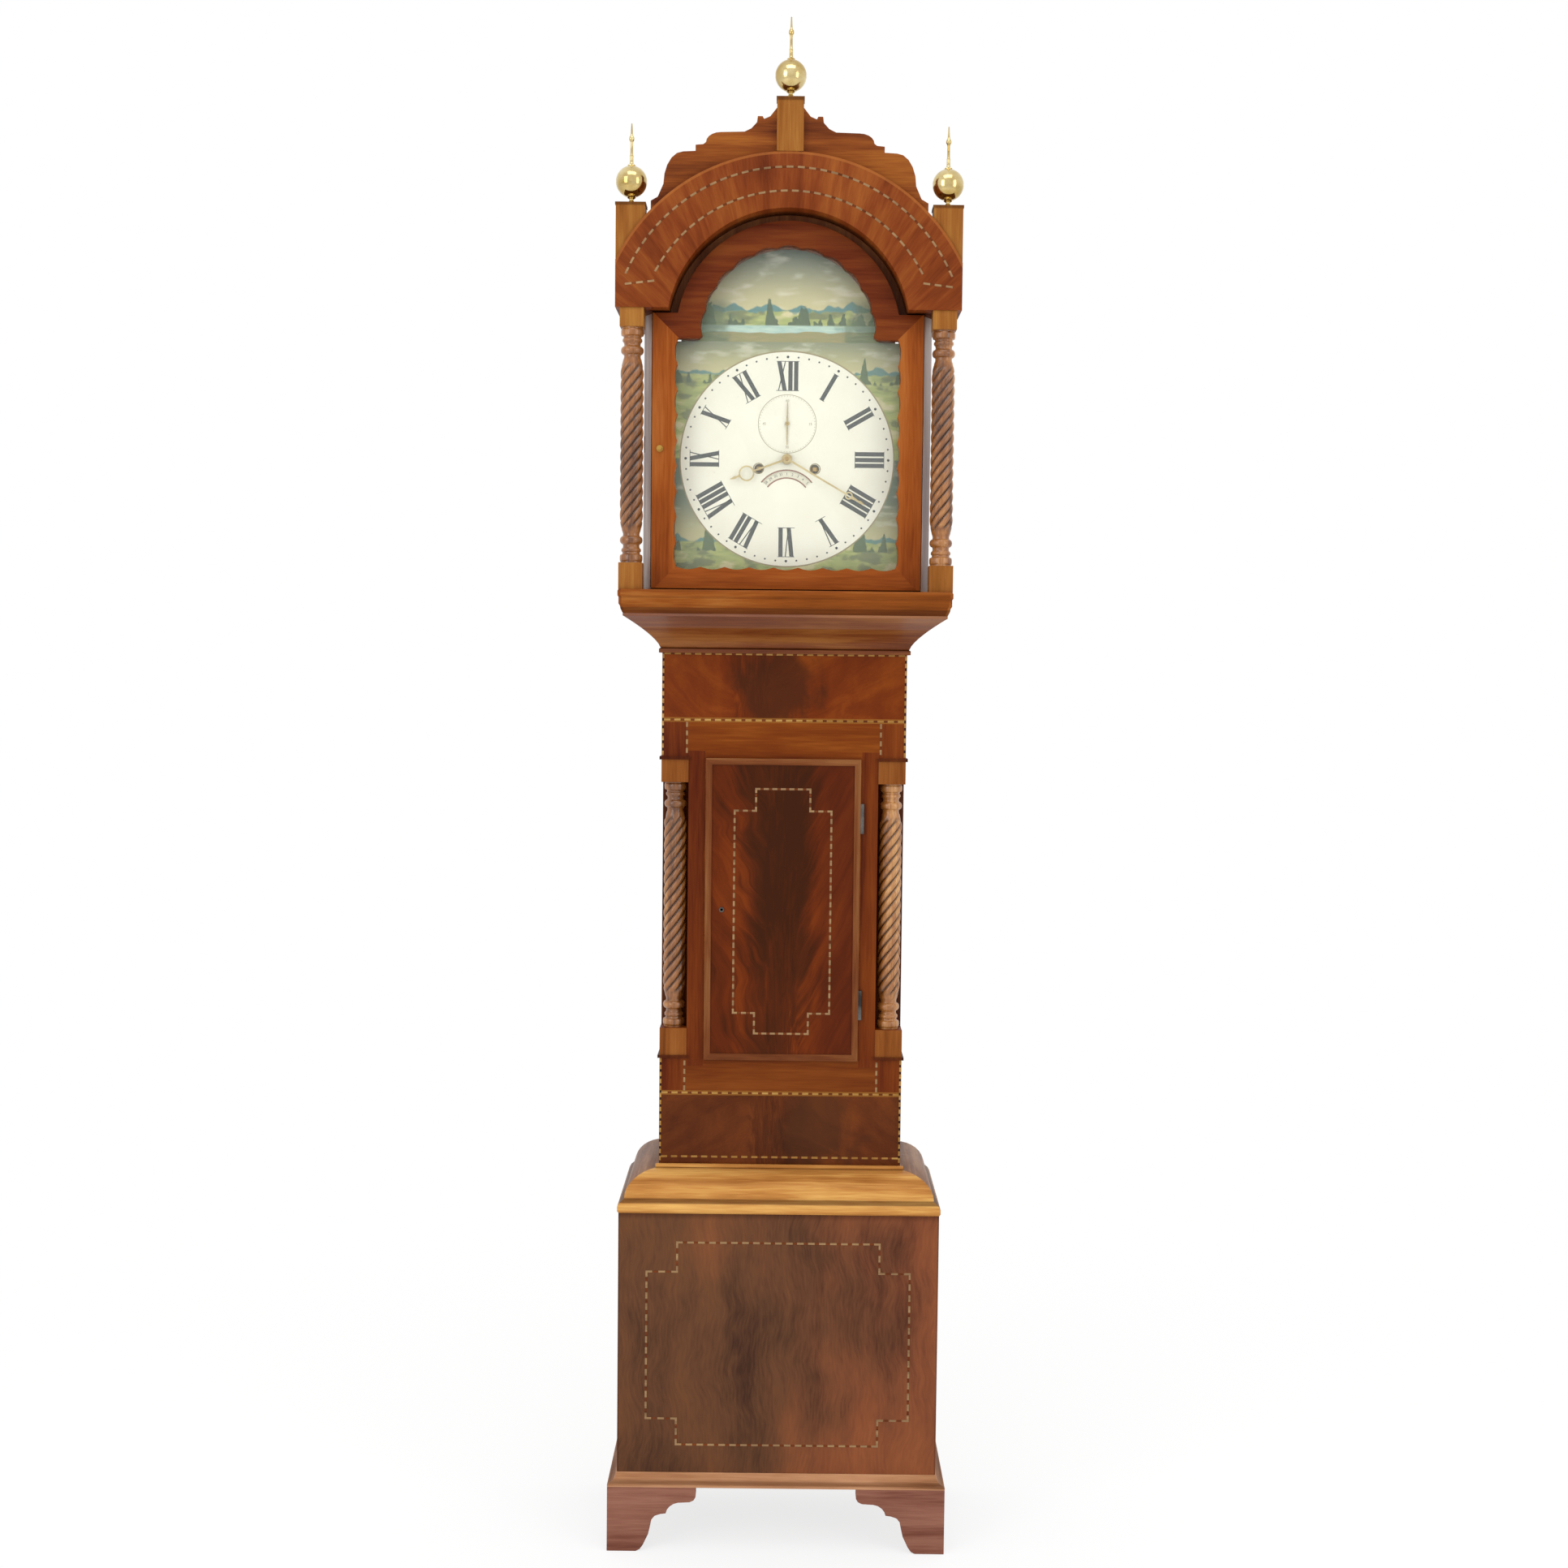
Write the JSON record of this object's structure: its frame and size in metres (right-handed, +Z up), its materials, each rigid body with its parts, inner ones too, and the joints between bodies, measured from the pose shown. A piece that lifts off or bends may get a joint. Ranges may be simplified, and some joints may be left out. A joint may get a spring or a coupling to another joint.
{
  "type": "longcase clock",
  "caption": "Longcase clock with an arched painted dial, rope-turned columns, a scrolled crest with brass finials, a hinged trunk door and a weight-driven striking movement with a pendulum",
  "frame": {"origin": "on the floor under the middle of the case", "axes": "+Z is up, the dial faces -Y and the flat back faces +Y, +X is to the right as seen from the front"},
  "size_m": [0.5228, 0.26, 2.337],
  "materials": {
    "mahogany": "french polished",
    "flame_mahogany": "french polished flame veneer",
    "golden_mahogany": "french polished",
    "pine": "sawn, unfinished",
    "brass": "polished and lacquered",
    "polished_brass": "bright polished",
    "bell_metal": "turned",
    "painted_dial": "satin painted",
    "glass": "clear",
    "iron": "as cast",
    "steel": "bright filed",
    "gut": "oiled gut"
  },
  "bodies": {
    "case": {"backboard": "pine", "plinth_front_panel": "flame_mahogany", "plinth_sides": "mahogany", "bracket_feet": "mahogany", "base_moulding": "mahogany", "waist_moulding": "golden_mahogany", "trunk_sides": "mahogany", "trunk_front_frame": "flame_mahogany", "trunk_columns": "mahogany", "throat_moulding": "mahogany", "seatboard": "pine", "front_plate": "brass", "back_plate": "brass", "bell": "bell_metal", "dial_plate": "painted_dial", "going_line": "gut", "strike_line": "gut"},
    "hood": {"hood_base": "golden_mahogany", "hood_carcass": "mahogany", "hood_blocks": "golden_mahogany", "hood_columns": "mahogany", "hood_arch": "mahogany", "hood_crest": "mahogany", "finials": "polished_brass"},
    "hood_door": {"hood_door_frame": "mahogany", "hood_door_glass": "glass"},
    "hood_catch": {"hood_door_catch": "brass"},
    "trunk_door": {"trunk_door": "flame_mahogany", "trunk_door_fittings": "brass"},
    "lock_bolt": {"trunk_lock_bolt": "brass"},
    "third": {"third_wheel": "brass"},
    "escape": {"escape_wheel": "brass", "seconds_hand": "polished_brass"},
    "centre": {"centre_wheel": "brass"},
    "going_great": {"going_great_wheel": "brass"},
    "minute": {"cannon_pinion": "brass", "minute_hand": "polished_brass"},
    "minute_wheel": {"minute_wheel": "brass"},
    "hour": {"hour_wheel": "brass", "hour_hand": "polished_brass"},
    "going_weight": {"going_weight": "iron"},
    "going_barrel": {"going_barrel": "brass"},
    "going_pulley": {"going_pulley": "brass"},
    "strike_weight": {"strike_weight": "iron"},
    "strike_barrel": {"strike_barrel": "brass"},
    "strike_pulley": {"strike_pulley": "brass"},
    "pendulum": {"pendulum_rod": "steel"},
    "pallets": {"pallets": "steel"},
    "bob": {"pendulum_bob": "brass"},
    "rating_nut": {"rating_nut": "brass"},
    "warning": {"warning_wheel": "brass"},
    "fly": {"fly": "brass"},
    "gathering": {"gathering_wheel": "brass"},
    "pin_wheel": {"pin_wheel": "brass"},
    "strike_great": {"strike_great_wheel": "brass"},
    "hammer": {"hammer": "steel"},
    "rack": {"rack": "steel"},
    "hook": {"rack_hook": "steel"},
    "lifting": {"lifting_piece": "steel"},
    "calendar": {"calendar_disc": "painted_dial"}
  },
  "joints": [
    {"name": "hood_slide", "type": "slide", "parent": "case", "child": "hood", "axis": [0, -1, 0], "range_m": [0, 0.3]},
    {"name": "hood_door_hinge", "type": "hinge", "parent": "hood", "child": "hood_door", "pos_m": [0.2055, -0.089, 1.7], "axis": [0, 0, 1], "range_deg": [0, 90]},
    {"name": "hood_catch_turn", "type": "hinge", "parent": "hood_door", "child": "hood_catch", "pos_m": [-0.19334, -0.089, 1.698], "axis": [0, 1, 0], "range_deg": [0, 90]},
    {"name": "trunk_door_hinge", "type": "hinge", "parent": "case", "child": "trunk_door", "pos_m": [0.123, -0.061, 0.99], "axis": [0, 0, 1], "range_deg": [0, 95]},
    {"name": "lock_bolt_throw", "type": "slide", "parent": "trunk_door", "child": "lock_bolt", "axis": [-1, 0, 0], "range_m": [0, 0.008]},
    {"name": "third_turn", "type": "hinge", "parent": "case", "child": "third", "pos_m": [0.00894, 0.02, 1.71726], "axis": [0, 1, 0], "continuous": true},
    {"name": "escape_turn", "type": "hinge", "parent": "case", "child": "escape", "pos_m": [0, 0.02, 1.7425], "axis": [0, 1, 0], "continuous": true},
    {"name": "centre_turn", "type": "hinge", "parent": "case", "child": "centre", "pos_m": [0, 0.02, 1.688], "axis": [0, 1, 0], "continuous": true},
    {"name": "going_great_turn", "type": "hinge", "parent": "case", "child": "going_great", "pos_m": [0.043, 0.02, 1.6735], "axis": [0, 1, 0], "continuous": true},
    {"name": "minute_turn", "type": "hinge", "parent": "case", "child": "minute", "pos_m": [0, 0.02, 1.688], "axis": [0, 1, 0], "continuous": true},
    {"name": "minute_wheel_turn", "type": "hinge", "parent": "case", "child": "minute_wheel", "pos_m": [0.02083, 0.02, 1.66318], "axis": [0, 1, 0], "continuous": true},
    {"name": "hour_turn", "type": "hinge", "parent": "case", "child": "hour", "pos_m": [0, 0.02, 1.688], "axis": [0, 1, 0], "continuous": true},
    {"name": "going_weight_fall", "type": "slide", "parent": "case", "child": "going_weight", "axis": [0, 0, -1], "range_m": [0, 1], "deforming": ["going_line"]},
    {"name": "going_barrel_turn", "type": "hinge", "parent": "case", "child": "going_barrel", "pos_m": [0.043, 0.02, 1.6735], "axis": [0, 1, 0], "range_deg": [-1, 5760]},
    {"name": "going_pulley_turn", "type": "hinge", "parent": "going_weight", "child": "going_pulley", "pos_m": [0.043, 0.014, 1.394], "axis": [0, 1, 0], "range_deg": [-1, 2880]},
    {"name": "strike_weight_fall", "type": "slide", "parent": "case", "child": "strike_weight", "axis": [0, 0, -1], "range_m": [0, 1], "deforming": ["strike_line"]},
    {"name": "strike_barrel_turn", "type": "hinge", "parent": "case", "child": "strike_barrel", "pos_m": [-0.043, 0.02, 1.6735], "axis": [0, 1, 0], "range_deg": [-5760, 1]},
    {"name": "strike_pulley_turn", "type": "hinge", "parent": "strike_weight", "child": "strike_pulley", "pos_m": [-0.043, 0.014, 1.394], "axis": [0, 1, 0], "range_deg": [-2880, 1]},
    {"name": "pendulum_swing", "type": "hinge", "parent": "case", "child": "pendulum", "pos_m": [0, 0.073, 1.7705], "axis": [0, 1, 0], "range_deg": [-3, 3]},
    {"name": "pallets_rock", "type": "hinge", "parent": "case", "child": "pallets", "pos_m": [0, 0.02, 1.7705], "axis": [0, 1, 0], "range_deg": [-3, 3]},
    {"name": "bob_rise", "type": "slide", "parent": "pendulum", "child": "bob", "axis": [0, 0, 1], "range_m": [-0.0015, 0.0015]},
    {"name": "rating_nut_turn", "type": "hinge", "parent": "bob", "child": "rating_nut", "pos_m": [0, 0.073, 0.7168], "axis": [0, 0, 1], "range_deg": [-1080, 1080]},
    {"name": "warning_turn", "type": "hinge", "parent": "case", "child": "warning", "pos_m": [-0.03379, 0.02, 1.75478], "axis": [0, 1, 0], "continuous": true},
    {"name": "fly_turn", "type": "hinge", "parent": "case", "child": "fly", "pos_m": [-0.01699, 0.02, 1.7609], "axis": [0, 1, 0], "continuous": true},
    {"name": "gathering_turn", "type": "hinge", "parent": "case", "child": "gathering", "pos_m": [-0.02612, 0.02, 1.73373], "axis": [0, 1, 0], "continuous": true},
    {"name": "pin_wheel_turn", "type": "hinge", "parent": "case", "child": "pin_wheel", "pos_m": [-0.04649, 0.02, 1.71337], "axis": [0, 1, 0], "continuous": true},
    {"name": "strike_great_turn", "type": "hinge", "parent": "case", "child": "strike_great", "pos_m": [-0.043, 0.02, 1.6735], "axis": [0, 1, 0], "continuous": true},
    {"name": "hammer_swing", "type": "hinge", "parent": "case", "child": "hammer", "pos_m": [-0.067, 0.02, 1.746], "axis": [0, 1, 0], "range_deg": [-10, 0], "stiffness_Nm_per_rad": 0.05, "springref_deg": 5.73},
    {"name": "rack_fall", "type": "hinge", "parent": "case", "child": "rack", "pos_m": [-0.03, -0.031, 1.636], "axis": [0, 1, 0], "range_deg": [-9, 0]},
    {"name": "hook_lift", "type": "hinge", "parent": "case", "child": "hook", "pos_m": [-0.05, -0.031, 1.75], "axis": [0, 1, 0], "range_deg": [-8, 0]},
    {"name": "lift", "type": "hinge", "parent": "case", "child": "lifting", "pos_m": [0.05, -0.019, 1.702], "axis": [0, 1, 0], "range_deg": [0, 6]},
    {"name": "calendar_turn", "type": "hinge", "parent": "case", "child": "calendar", "pos_m": [0, -0.044, 1.622], "axis": [0, 1, 0], "continuous": true}
  ],
  "couplings": [
    {"joint": "escape_turn", "follows": "third_turn", "ratio": -8},
    {"joint": "centre_turn", "follows": "third_turn", "ratio": -0.13333},
    {"joint": "going_great_turn", "follows": "third_turn", "ratio": 0.011111},
    {"joint": "minute_turn", "follows": "third_turn", "ratio": -0.13333},
    {"joint": "minute_wheel_turn", "follows": "third_turn", "ratio": 0.13333},
    {"joint": "hour_turn", "follows": "third_turn", "ratio": -0.011111},
    {"joint": "going_barrel_turn", "follows": "going_weight_fall", "rad_per_m": 100},
    {"joint": "going_pulley_turn", "follows": "going_weight_fall", "rad_per_m": 50},
    {"joint": "strike_barrel_turn", "follows": "strike_weight_fall", "rad_per_m": -100},
    {"joint": "strike_pulley_turn", "follows": "strike_weight_fall", "rad_per_m": -50},
    {"joint": "pallets_rock", "follows": "pendulum_swing", "ratio": 1},
    {"joint": "rating_nut_turn", "follows": "bob_rise", "rad_per_m": 12566},
    {"joint": "fly_turn", "follows": "warning_turn", "ratio": -6.8571},
    {"joint": "gathering_turn", "follows": "warning_turn", "ratio": -0.14286},
    {"joint": "pin_wheel_turn", "follows": "warning_turn", "ratio": 0.017857},
    {"joint": "strike_great_turn", "follows": "warning_turn", "ratio": -0.0017007}
  ]
}
